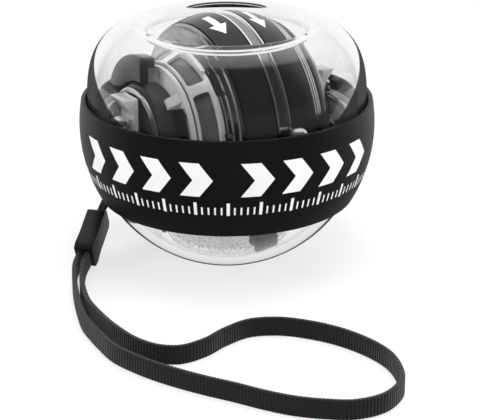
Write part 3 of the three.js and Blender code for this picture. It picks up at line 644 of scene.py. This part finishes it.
CORD_ROUTE = [
    (-21.7, 12.1, 14.85), (-23.2, 12.9, 13.75), (-24.6, 13.8, 12.7), (-26.4, 14.7, 11.35),
    (-27.6, 13.6, 10.8), (-28.3, 11.0, 10.8), (-29.1, 7.6, 10.7), (-30.1, 4.0, 10.3), (-31.0, 0.8, 9.6),
    (-31.7, -2.2, 8.55), (-32.0, -3.6, 7.95), (-32.3, -4.7, 7.95), (-32.4, -5.0, 8.4), (-32.3, -4.9, 9.1),
    (-32.2, -4.2, 9.6), (-31.9, -3.0, 10.25), (-31.2, 0.2, 11.3), (-30.6, 3.2, 11.8), (-29.9, 6.4, 11.9),
    (-29.1, 9.1, 11.6), (-27.9, 10.6, 11.65), (-26.4, 10.0, 12.7), (-24.8, 9.4, 13.75), (-23.3, 8.8, 14.85),
]
STRAP_ROUTE = [
    (-35.65, -14.8, 3.05), (-36.3, -17.4, 2.4), (-36.5, -21.0, 2.35), (-35.8, -30.0, 2.35),
    (-34.9, -36.1, 2.35), (-33.8, -42.1, 2.35), (-32.0, -49.7, 2.35),
    (-29.9, -54.8, 2.35), (-27.8, -59.2, 2.35), (-24.2, -65.6, 2.35), (-17.4, -72.3, 2.35),
    (-11.0, -76.9, 2.35), (-4.7, -80.6, 2.35), (1.4, -83.7, 2.35), (7.5, -87.1, 2.35), (13.5, -89.7, 2.35),
    (19.4, -91.0, 2.35), (25.4, -91.3, 2.35), (31.7, -88.3, 2.35), (35.6, -82.0, 2.35), (35.9, -76.5, 2.35),
    (34.4, -69.6, 2.35), (30.7, -63.6, 2.35), (24.6, -57.8, 2.35), (18.2, -54.2, 2.35), (11.6, -52.3, 2.35),
    (4.9, -53.1, 2.35), (-0.6, -57.6, 2.35), (-4.9, -62.8, 2.35), (-10.0, -66.2, 2.35), (-14.5, -65.9, 2.35),
    (-19.5, -62.6, 2.35), (-24.8, -55.6, 2.35), (-28.6, -48.8, 2.35), (-31.6, -42.1, 2.35),
    (-33.1, -36.1, 2.35), (-34.1, -30.0, 2.35), (-34.6, -21.0, 2.35),
    (-34.4, -17.6, 2.4), (-33.8, -15.2, 3.05),
]


def smooth_route(points, steps=12):
    """A centripetal curve through the points, in metres."""
    points = [Vector(p) * MM for p in points]
    ends = [points[0] * 2 - points[1], *points, points[-1] * 2 - points[-2]]
    path = []
    for i in range(1, len(ends) - 2):
        p0, p1, p2, p3 = ends[i - 1:i + 3]
        t0 = 0.0
        t1 = t0 + (p1 - p0).length ** 0.5
        t2 = t1 + (p2 - p1).length ** 0.5
        t3 = t2 + (p3 - p2).length ** 0.5
        for k in range(steps):
            t = t1 + (t2 - t1) * k / steps
            a1 = p0 * ((t1 - t) / (t1 - t0)) + p1 * ((t - t0) / (t1 - t0))
            a2 = p1 * ((t2 - t) / (t2 - t1)) + p2 * ((t - t1) / (t2 - t1))
            a3 = p2 * ((t3 - t) / (t3 - t2)) + p3 * ((t - t2) / (t3 - t2))
            b1 = a1 * ((t2 - t) / (t2 - t0)) + a2 * ((t - t0) / (t2 - t0))
            b2 = a2 * ((t3 - t) / (t3 - t1)) + a3 * ((t - t1) / (t3 - t1))
            path.append(b1 * ((t2 - t) / (t2 - t1)) + b2 * ((t - t1) / (t2 - t1)))
    path.append(points[-1])
    return path


def path_length(path):
    """Length along a route, in metres."""
    return sum((b - a).length for a, b in zip(path, path[1:]))


def route_curve(name, path):
    """A route as a curve whose section stays upright."""
    curve = bpy.data.curves.new(name, 'CURVE')
    curve.dimensions = '3D'
    curve.twist_mode = 'Z_UP'
    spline = curve.splines.new('POLY')
    spline.points.add(len(path) - 1)
    for point, at in zip(spline.points, path):
        point.co = (*at, 1)
    return curve


def cord_recipe(name, material, width, height, corner, rib_pitch, rib_depth):
    """Carries a rounded section with raised cross ribs along a route, and keeps each point's place on it."""
    ring_step = 0.1
    r = Recipe(name, {'Width': width * MM, 'Height': height * MM, 'Corner': corner * MM,
                      'Ring step': ring_step * MM, 'Rib pitch': rib_pitch * MM, 'Rib depth': rib_depth * MM})
    line = r.node('GeometryNodeResampleCurve', {'mode': 'LENGTH'}, {
        'Curve': r.size('Geometry'), 'Length': r.size('Ring step')})
    along = r.node('GeometryNodeSplineParameter')['Length']
    kept = r.node('GeometryNodeStoreNamedAttribute', {'data_type': 'FLOAT', 'domain': 'POINT'}, {
        'Geometry': line, 'Name': "along", 'Value': along})
    section = r.node('GeometryNodeCurvePrimitiveQuadrilateral', None, {
        'Width': r.size('Width'), 'Height': r.size('Height')})
    section = r.node('GeometryNodeFilletCurve', {'mode': 'POLY'}, {
        'Curve': section, 'Count': 3, 'Radius': r.size('Corner')})
    across = r.node('GeometryNodeSplineParameter')['Length']
    section = r.node('GeometryNodeStoreNamedAttribute', {'data_type': 'FLOAT', 'domain': 'POINT'}, {
        'Geometry': section, 'Name': "across", 'Value': across})
    body = r.node('GeometryNodeCurveToMesh', None, {
        'Curve': kept, 'Profile Curve': section, 'Fill Caps': True})
    lengthwise = r.node('GeometryNodeInputNamedAttribute', {'data_type': 'FLOAT'}, {'Name': "along"})
    crosswise = r.node('GeometryNodeInputNamedAttribute', {'data_type': 'FLOAT'}, {'Name': "across"})
    rise = (lengthwise / r.size('Rib pitch') * TURN).sine() * r.size('Rib depth')
    offset = r.node('ShaderNodeVectorMath', {'operation': 'SCALE'}, {
        0: r.node('GeometryNodeInputNormal'), 'Scale': rise})
    body = r.node('GeometryNodeSetPosition', None, {'Geometry': body, 'Offset': offset})
    weave = r.node('ShaderNodeCombineXYZ', None, {0: lengthwise * TO_MM, 1: crosswise * TO_MM})
    body = r.node('GeometryNodeStoreNamedAttribute', {'data_type': 'FLOAT_VECTOR', 'domain': 'POINT'}, {
        'Geometry': body, 'Name': "weave", 'Value': weave})
    body = r.node('GeometryNodeSetShadeSmooth', None, {'Geometry': body})
    r.finish(body, material)
    return r


def knot():
    """The cord's two ends, tied into a small ball of three crossing turns."""
    strands, twist, valley, rise = 3, 1.3, 0.8, 0.19
    corners = [Vector(c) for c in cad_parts["cord_knot"].bound_box]
    middle = sum(corners, Vector()) / len(corners)
    work = bmesh.new()
    bmesh.ops.create_icosphere(work, subdivisions=5, radius=1.0)
    weave = work.verts.layers.float_vector.new("weave")
    for vert in work.verts:
        way = vert.co.normalized()
        turn = math.atan2(way.y, way.x)
        strand = abs(math.cos(strands / 2 * turn + twist * way.z))
        vert[weave] = (turn * KNOT, way.z * KNOT, 0)
        vert.co = middle + way * KNOT * MM * (valley + rise * strand ** 0.5)
    for face in work.faces:
        face.smooth = True
    mesh = bpy.data.meshes.new("lanyard_knot")
    work.to_mesh(mesh)
    work.free()
    add("lanyard_knot", mesh, "housing", CORD, ["cord_knot"])


def strap():
    """The flat loop that lies on the table, and the crimp that holds its two ends."""
    crimp = add_eased("strap_crimp", "lanyard_crimp", "housing", BLACK,
                      radius=0.55, segments=4)
    path = smooth_route(STRAP_ROUTE)
    recipe = cord_recipe("strap_webbing", WEBBING, width=STRAP_THICKNESS, height=STRAP_WIDTH, corner=0.3,
                         rib_pitch=0.8, rib_depth=0.035)
    mesh = recipe.run("wrist_strap_webbing", route_curve("strap_route", path))
    loop = add("wrist_strap_webbing", mesh, "housing", WEBBING, ["wrist_strap"])
    path_length(path)


def cord():
    """The thin cord: out of one hole of the bowl, forwards to the crimp and back into the other."""
    path = smooth_route(CORD_ROUTE, 8)
    recipe = cord_recipe("cord_braid", CORD, width=CORD_THICKNESS, height=CORD_THICKNESS, corner=0.55,
                         rib_pitch=0.55, rib_depth=0.03)
    mesh = recipe.run("lanyard_cord_braid", route_curve("cord_route", path))
    braid = add("lanyard_cord_braid", mesh, "housing", CORD, ["lanyard_cord"])
    path_length(path)


knot()
strap()
cord()


# Housing

def crown_share(radius_share):
    """Share of a crown's height that it keeps at a share of its radius."""
    return (1 - radius_share ** CROWN_POWER) ** (1 / CROWN_POWER)


def crown(low, end_radius, steps):
    """The crown's outer face, from a height up to where it turns down into the thumb opening."""
    start = math.asin((low / CROWN) ** (CROWN_POWER / 2))
    end = math.acos((end_radius / SHELL) ** (CROWN_POWER / 2))
    angles = [start + (end - start) * i / steps for i in range(steps + 1)]
    bow = 2 / CROWN_POWER
    return [(SHELL * math.cos(t) ** bow, CROWN * math.sin(t) ** bow) for t in angles]


def inner_face(points):
    """The crown's inner face: one wall's thickness in from the outer face, a little more at the top."""
    over_ledge = 0.2
    face = []
    for r, z in points:
        out = Vector(((r / SHELL) ** (CROWN_POWER - 1) / SHELL, (z / CROWN) ** (CROWN_POWER - 1) / CROWN))
        out.normalize()
        wall = WALL + (CROWN_WALL - WALL) * out.y
        face.append((r - wall * out.x, z - wall * out.y))
    return [p for p in face if p[1] > LEDGE_TOP + over_ledge]


def arc(radius, middle, first, last, steps):
    """Points of a profile's round stretch, between two angles about its middle."""
    across, up = middle
    angles = [first + (last - first) * i / steps for i in range(steps + 1)]
    return [(across + radius * math.cos(t), up + radius * math.sin(t)) for t in angles]


def shell_radius(z):
    """Radius of the closed shell's outer face at a height."""
    if z > 0:
        return SHELL * crown_share(z / CROWN)
    return SHELL if z > -DROP else math.sqrt(SHELL ** 2 - (z + DROP) ** 2)


def upper_shell():
    """The crown, which turns down into the thumb opening and ends in a rounded lip, and its screw bosses."""
    edge = crown_share(TURN_IN / SHELL)
    lean = math.atan(CROWN / SHELL * (TURN_IN / SHELL / edge) ** (CROWN_POWER - 1))
    bend = (TURN_IN - BEND * math.sin(lean), CROWN * edge - BEND * math.cos(lean))
    opening = bend[0] - BEND
    lip = (opening + LIP / 2, bend[1])
    outer = crown(GAP / 2, TURN_IN, steps=60)
    profile = [*outer, *arc(BEND, bend, math.pi / 2 - lean, math.pi, steps=20)[1:],
               *arc(LIP / 2, lip, math.pi, TURN, steps=14)[1:], *inner_face(outer)[::-1],
               (INNER, LEDGE_TOP), (LEDGE_RADIUS, LEDGE_TOP), (LEDGE_RADIUS, RACE), (INNER, RACE),
               (INNER, GAP / 2)]
    in_ledge = RACE + 0.01
    steps = []
    for i in range(SCREW_COUNT):
        turn = FIRST_SCREW + i * TURN / SCREW_COUNT
        x, y = SCREW_CIRCLE * math.cos(turn), SCREW_CIRCLE * math.sin(turn)
        place = UPRIGHT @ Matrix.Translation((x * MM, y * MM, 0))
        bore = rod(SHANK + GAP, BOSS_TOP - SHANK_LENGTH - GAP, BOSS_TOP + OVERRUN, place)
        steps += [('UNION', rod(BOSS, in_ledge, BOSS_TOP, place)), ('DIFFERENCE', bore)]
    mesh = shaped("crown_shell", turned("crown_shell_blank", profile, SHELL_SIDES), *steps)
    add("crown_shell", mesh, "housing", CLEAR, ["upper_shell"])


def lower_shell():
    """The bowl, open below for the base, with two holes for the cord."""
    middle = (0, -DROP)
    hole, hole_inside = math.acos(BASE_HOLE / SHELL), math.acos(BASE_HOLE / INNER)
    ledge = math.asin((LEDGE_TOP - DROP) / INNER)
    profile = [(SHELL, -GAP / 2), *arc(SHELL, middle, 0, -hole, steps=56),
               *arc(INNER, middle, -hole_inside, -ledge, steps=48), (LEDGE_RADIUS, -LEDGE_TOP),
               (LEDGE_RADIUS, -RACE), (INNER, -RACE), (INNER, -GAP / 2)]
    across = math.sqrt(SHELL ** 2 - HOLE_DROP ** 2)
    steps = []
    for side in (-1, 1):
        turn = HOLE_AZIMUTH + side * HOLE_SPREAD
        way = Vector((across * math.cos(turn), across * math.sin(turn), -HOLE_DROP))
        aim = way.to_track_quat('Z', 'Y').to_matrix().to_4x4()
        place = UPRIGHT @ Matrix.Translation((0, 0, -DROP * MM)) @ aim
        steps.append(('DIFFERENCE', rod(HOLE, INNER - OVERRUN, SHELL + OVERRUN, place)))
    mesh = shaped("bowl_shell", turned("bowl_shell_blank", profile, SHELL_SIDES), *steps)
    add("bowl_shell", mesh, "housing", CLEAR_BOWL, ["lower_shell"])


def grip_band():
    """The sleeve over the seam, whose map starts at the back, between two rows of chevrons."""
    rows = 40
    heights = [BAND_BOTTOM + (BAND_TOP - BAND_BOTTOM) * i / rows for i in range(rows + 1)]
    outer = [(math.sqrt(BAND ** 2 - z ** 2), z) for z in heights]
    inner = [(shell_radius(z) + GAP, z) for z in heights]
    profile = rounded([*outer, *inner[::-1]], radius=0.5, steps=5)
    mesh = turned("grip_sleeve", profile, sides=256, start=math.pi / 2)
    add("grip_sleeve", mesh, "housing", SILICONE, ["grip_band"])


def base():
    """The clear cup with the flat foot, the frosted disc on it and the three hooks that hold the disc."""
    stem = BASE_HOLE - GAP
    hollow = stem - BASE_WALL
    inside = BASE_FLOOR - CENTRE
    cup = [(0, -CENTRE), (FOOT, -CENTRE), (stem, FOOT_CHAMFER - CENTRE), (stem, FLANGE_BOTTOM),
           (FLANGE, FLANGE_BOTTOM), (FLANGE, FLANGE_TOP), (hollow, FLANGE_TOP), (hollow, inside),
           (0, inside)]
    mesh = turned("base_cup", rounded(cup, radius=0.2))
    add("base_cup", mesh, "housing", CLEAR_BOWL, ["base_plate"])
    disc = [(0, DISC_BOTTOM), (FLANGE, DISC_BOTTOM), (FLANGE, DISC_TOP), (0, DISC_TOP)]
    mesh = turned("frosted_floor", rounded(disc, radius=0.15))
    add("frosted_floor", mesh, "housing", FROSTED, ["base_disc"])
    for i in (1, 2, 3):
        add_eased(f"floor_clip_{i}", f"base_clip_{i}", "housing", BLACK,
                  radius=0.25, segments=3)


def race_screws():
    """Dome-headed screws, set round the race."""
    foot, seat, steps = BOSS_TOP - SHANK_LENGTH, BOSS_TOP + GAP, 12
    angles = [i * math.pi / 2 / steps for i in range(steps)]
    dome = [(SCREW_HEAD * math.cos(t), seat + SCREW_HEAD_HEIGHT * math.sin(t)) for t in angles]
    profile = [(0, foot), (SHANK, foot), (SHANK, seat), *dome, (0, seat + SCREW_HEAD_HEIGHT)]
    r = Recipe("race_screws", {'Count': SCREW_COUNT, 'Circle': SCREW_CIRCLE * MM, 'First turn': FIRST_SCREW})
    ring = r.node('GeometryNodeMeshCircle', None, {'Vertices': r.size('Count'), 'Radius': r.size('Circle')})
    turn = r.node('ShaderNodeCombineXYZ', None, {2: r.size('First turn')})
    ring = r.node('GeometryNodeTransform', None, {'Geometry': ring, 'Rotation': turn})
    screws = r.node('GeometryNodeInstanceOnPoints', None, {'Points': ring, 'Instance': r.size('Geometry')})
    r.finish(screws, POLISHED)
    blank = turned("screw_blank", rounded(profile, radius=0.12), sides=64, place=Matrix.Identity(4))
    mesh = r.run("race_screws", blank)
    mesh.set_sharp_from_angle(angle=SHARP)
    mesh.transform(UPRIGHT)
    solids = [f"race_screw_{i + 1}" for i in range(SCREW_COUNT)]
    add("race_screws", mesh, "housing", POLISHED, solids)


upper_shell()
lower_shell()
grip_band()
base()
race_screws()


# Guide ring and starter

def guide_parts():
    """The ring that runs in the race, and the blocks in it that carry the axle."""
    add_eased("guide_race", "guide_ring", "guide_ring", BLACK, radius=0.2)
    for side in ("left", "right"):
        add_eased(f"axle_block_{side}", f"bearing_block_{side}", "guide_ring", PALE,
                  radius=0.2)


def spring_drum():
    """The drum of the wound spring, its bright rim and the hood over it."""
    inside, hollow = -DRUM_END + DRUM_WALL, DRUM - DRUM_WALL
    drum = [(-DRUM_START, DRUM), (-DRUM_END + DRUM_CHAMFER, DRUM), (-DRUM_END, DRUM - DRUM_CHAMFER),
            (-DRUM_END, AXLE_BORE), (inside, AXLE_BORE), (inside, hollow), (-DRUM_START, hollow)]
    add_on_axle("starter_drum", drum, "guide_ring", DARK, "spring_drum")
    rim = [(-RIM_START, RIM - RIM_WIDTH), (-RIM_START, RIM), (-RIM_END, RIM), (-RIM_END, RIM - RIM_WIDTH)]
    add_on_axle("starter_drum_rim", rim, "guide_ring", POLISHED, "drum_rim")
    add_eased("starter_hood", "drum_hood", "guide_ring", HOOD, radius=0.6, segments=4)


def starter_parts():
    """The winding plate and its two pawls."""
    add_eased("winding_plate", "starter_plate", "starter", LIGHT, radius=0.12)
    for i in (1, 2):
        add_eased(f"winding_pawl_{i}", f"starter_pawl_{i}", "starter", BLACK, radius=0.15)


guide_parts()
spring_drum()
starter_parts()


# Rotor

def on_rotor(along):
    """Radius of the rotor's round face at a place along the axle."""
    return math.sqrt(ROTOR ** 2 - along ** 2)


def ring_line(face, bore):
    """A ring's profile from its outer face and the radius of its bore."""
    return [*face, (face[-1][0], bore), (face[0][0], bore)]


def centre_ring(bore):
    """The bright ring round the rotor's middle, sunk between its two raised edges."""
    shares = [(-1, 0), (-0.72, 0), (-0.66, 1), (0.66, 1), (0.72, 0), (1, 0)]
    places = [(share * CENTRE_HALF, sunk) for share, sunk in shares]
    face = [(s, on_rotor(s) - CENTRE_GROOVE * sunk) for s, sunk in places]
    add_on_axle("rotor_centre_lines", ring_line(face, bore), "rotor", GROOVED, "centre_ring")


def covers(bore):
    """The two gloss covers, each a stretch of the rotor's round face."""
    start, steps = CENTRE_HALF + GAP, 16
    for side, name in ((-1, "left"), (1, "right")):
        places = [side * (start + (COVER_END - start) * i / steps) for i in range(steps + 1)]
        face = [(s, on_rotor(s)) for s in places]
        add_on_axle(f"rotor_cover_{name}", ring_line(face, bore), "rotor", COVER,
                    f"rotor_band_{name}", sides=192)


def trim_and_flank(bore):
    """The silver trim with two grooves at one end, and the streaked flank's steps at the other."""
    start = COVER_END + GAP
    width = TRIM_END - start
    grooves = [(0, 0), (0.22, 0), (0.22, 1), (0.4, 1), (0.4, 0),
               (0.66, 0), (0.66, 1), (0.8, 1), (0.8, 0), (1, 0)]
    places = [(start + width * share, sunk) for share, sunk in grooves]
    trim = [(s, on_rotor(s) - TRIM_GROOVE * sunk) for s, sunk in places]
    add_on_axle("rotor_trim", ring_line(trim, bore), "rotor", SILVER, "shoulder_trim",
                corner=0.06)
    top = on_rotor(start)
    falls = [(0, 0), (0.3, 0.12), (0.34, 0.3), (0.62, 0.52), (0.66, 0.68), (1, 1)]
    flank = [(-(start + width * share), top - (top - FLANK) * fall) for share, fall in falls]
    add_on_axle("rotor_flank", ring_line(flank, bore), "rotor", STREAKED, "flank_ring",
                corner=0.1)


def frame_and_pane():
    """The window frame at the starter's end, and the dark pane behind its windows."""
    add_eased("rotor_frame", "end_frame", "rotor", LIGHT, radius=0.12)
    inset = FRAME_THICKNESS + GAP
    pane = [(-FRAME_START, AXLE_BORE), (-FRAME_START, FRAME_OUTER - inset),
            (-FRAME_END, FRAME_INNER - inset), (-FRAME_END, AXLE_BORE)]
    add_on_axle("rotor_pane", pane, "rotor", PANE, "end_cap_left")


def shoulder():
    """The smoked cap that rounds off the rotor's other end."""
    rise = on_rotor(FRAME_START)
    shares = [(0, 1), (0.28, 0.965), (0.56, 0.895), (0.78, 0.805), (0.93, 0.69), (1, 0.55)]
    cap = [(FRAME_START + (CAP_END - FRAME_START) * share, rise * height) for share, height in shares]
    cap += [(CAP_END, AXLE_BORE), (FRAME_START, AXLE_BORE)]
    add_on_axle("rotor_shoulder", cap, "rotor", SMOKE, "end_cap_right", corner=1.2)


centre_ring(CORE + GAP)
covers(CORE + GAP)
trim_and_flank(CORE + GAP)
frame_and_pane()
shoulder()


# Solids that stay as the frame gives them

def dress(material, *nodes):
    """Gives the solids of these nodes their finish."""
    for node in nodes:
        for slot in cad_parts[node].material_slots:
            slot.material = material


dress(STEEL, "axle", "rotor_core", "spacer_right", "mainspring")
dress(CHROME, "pawl_spring_1", "pawl_spring_2")


# Studio

def rays(graph):
    """The Light Path node, the rays that show the studio past or through the ball, and those it mirrors."""
    path = graph.node('ShaderNodeLightPath')
    seen = path['Is Camera Ray'].maths('MAXIMUM', path['Is Camera Ray'], path['Is Glossy Ray'])
    seen = seen.maths('MAXIMUM', seen, path['Is Transmission Ray']) * (path['Diffuse Depth'] < 0.5)
    mirrored = seen * (path['Glossy Depth'] > 0.5)
    return path, seen - mirrored, mirrored


def floor():
    """Pale paper. It glows white to what looks past or through the ball, and towards the viewer it is darker
    to what is mirrored, so that dark covers and metal keep their tone."""
    half, paper_share = 4, 0.35
    near, far, darkest, guided_from = -0.03, 0.1, 0.85, -0.08
    f = Finish("pale_floor")
    at = f.place()
    tone = f.blend(f.span(f.noise(at, 3, 2), 0.3, 0.7, 0, 1), (0.93, 0.93, 0.93), (0.94, 0.94, 0.94))
    paper = f.surface(tone, 0.6, Specular_IOR_Level=0.1)
    path, plain, mirrored = rays(f)
    depth = f.node('ShaderNodeSeparateXYZ', None, {0: at})['Y']
    guided = path['Transmission Depth'].between(0.5, 1.5) * (depth > guided_from)
    front = f.span(depth, near, far, darkest, 0.0) * (1 - guided)
    glow = f.node('ShaderNodeEmission', None, {'Color': (1, 1, 1, 1), 'Strength': 1 - mirrored * front})
    share = plain * (path['Is Camera Ray'] * -paper_share + 1) + mirrored
    mesh = bpy.data.meshes.new("floor")
    mesh.from_pydata([(-half, -half, 0), (half, -half, 0), (half, half, 0), (-half, half, 0)], [],
                     [(0, 1, 2, 3)])
    mesh.materials.append(f.done(f.node('ShaderNodeMixShader', None, {0: share, 1: paper, 2: glow})))
    obj = bpy.data.objects.new("floor", mesh)
    scene.collection.objects.link(obj)


def room():
    """White to what looks past or through the ball. What is mirrored or lit sees a dim room with a white
    ceiling and a white wall behind."""
    dim = 0.08
    world = bpy.data.worlds.new("studio")
    scene.world = world
    world.use_nodes = True
    g = Graph(world.node_tree)
    g.tree.nodes.clear()
    way = g.node('ShaderNodeSeparateXYZ', None, {0: g.node('ShaderNodeTexCoord')['Generated']})
    above = g.node('ShaderNodeMapRange', {'interpolation_type': 'SMOOTHSTEP'}, {
        0: way['Z'] + way['Y'] * 0.5, 1: 0.9, 2: 1.0, 3: dim, 4: 1.0})
    behind = g.node('ShaderNodeMapRange', {'interpolation_type': 'SMOOTHSTEP'}, {
        0: way['Y'], 1: 0.1, 2: 0.5, 3: dim, 4: 1.0})
    light = above.maths('MAXIMUM', above, behind)
    path, plain, mirrored = rays(g)
    strength = plain + mirrored * light + (1 - plain - mirrored) * (1 - path['Is Transmission Ray']) * light
    background = g.node('ShaderNodeBackground', None, {'Color': (1, 1, 1, 1), 'Strength': strength})
    g.node('ShaderNodeOutputWorld', None, {'Surface': background})


def lamp(name, place, size, power):
    """A square soft lamp that shines on the ball, and that neither metal nor glass shows."""
    target = Vector((0, 0, 0.03))
    light = bpy.data.lights.new(name, 'AREA')
    light.shape = 'RECTANGLE'
    light.size = size
    light.size_y = size
    light.energy = power
    obj = bpy.data.objects.new(name, light)
    obj.location = place
    obj.visible_glossy = False
    obj.visible_transmission = False
    obj.rotation_euler = (target - Vector(place)).to_track_quat('-Z', 'Y').to_euler()
    scene.collection.objects.link(obj)


floor()
room()
lamp("overhead_softbox", (0.05, -0.05, 0.6), 0.4, 2.6)
lamp("front_softbox", (0.0, -0.6, 0.3), 0.4, 1.6)
lamp("left_softbox", (-0.55, -0.2, 0.3), 0.3, 1.4)
lamp("right_softbox", (0.55, -0.1, 0.3), 0.3, 1.4)
scene.view_settings.view_transform = 'Standard'
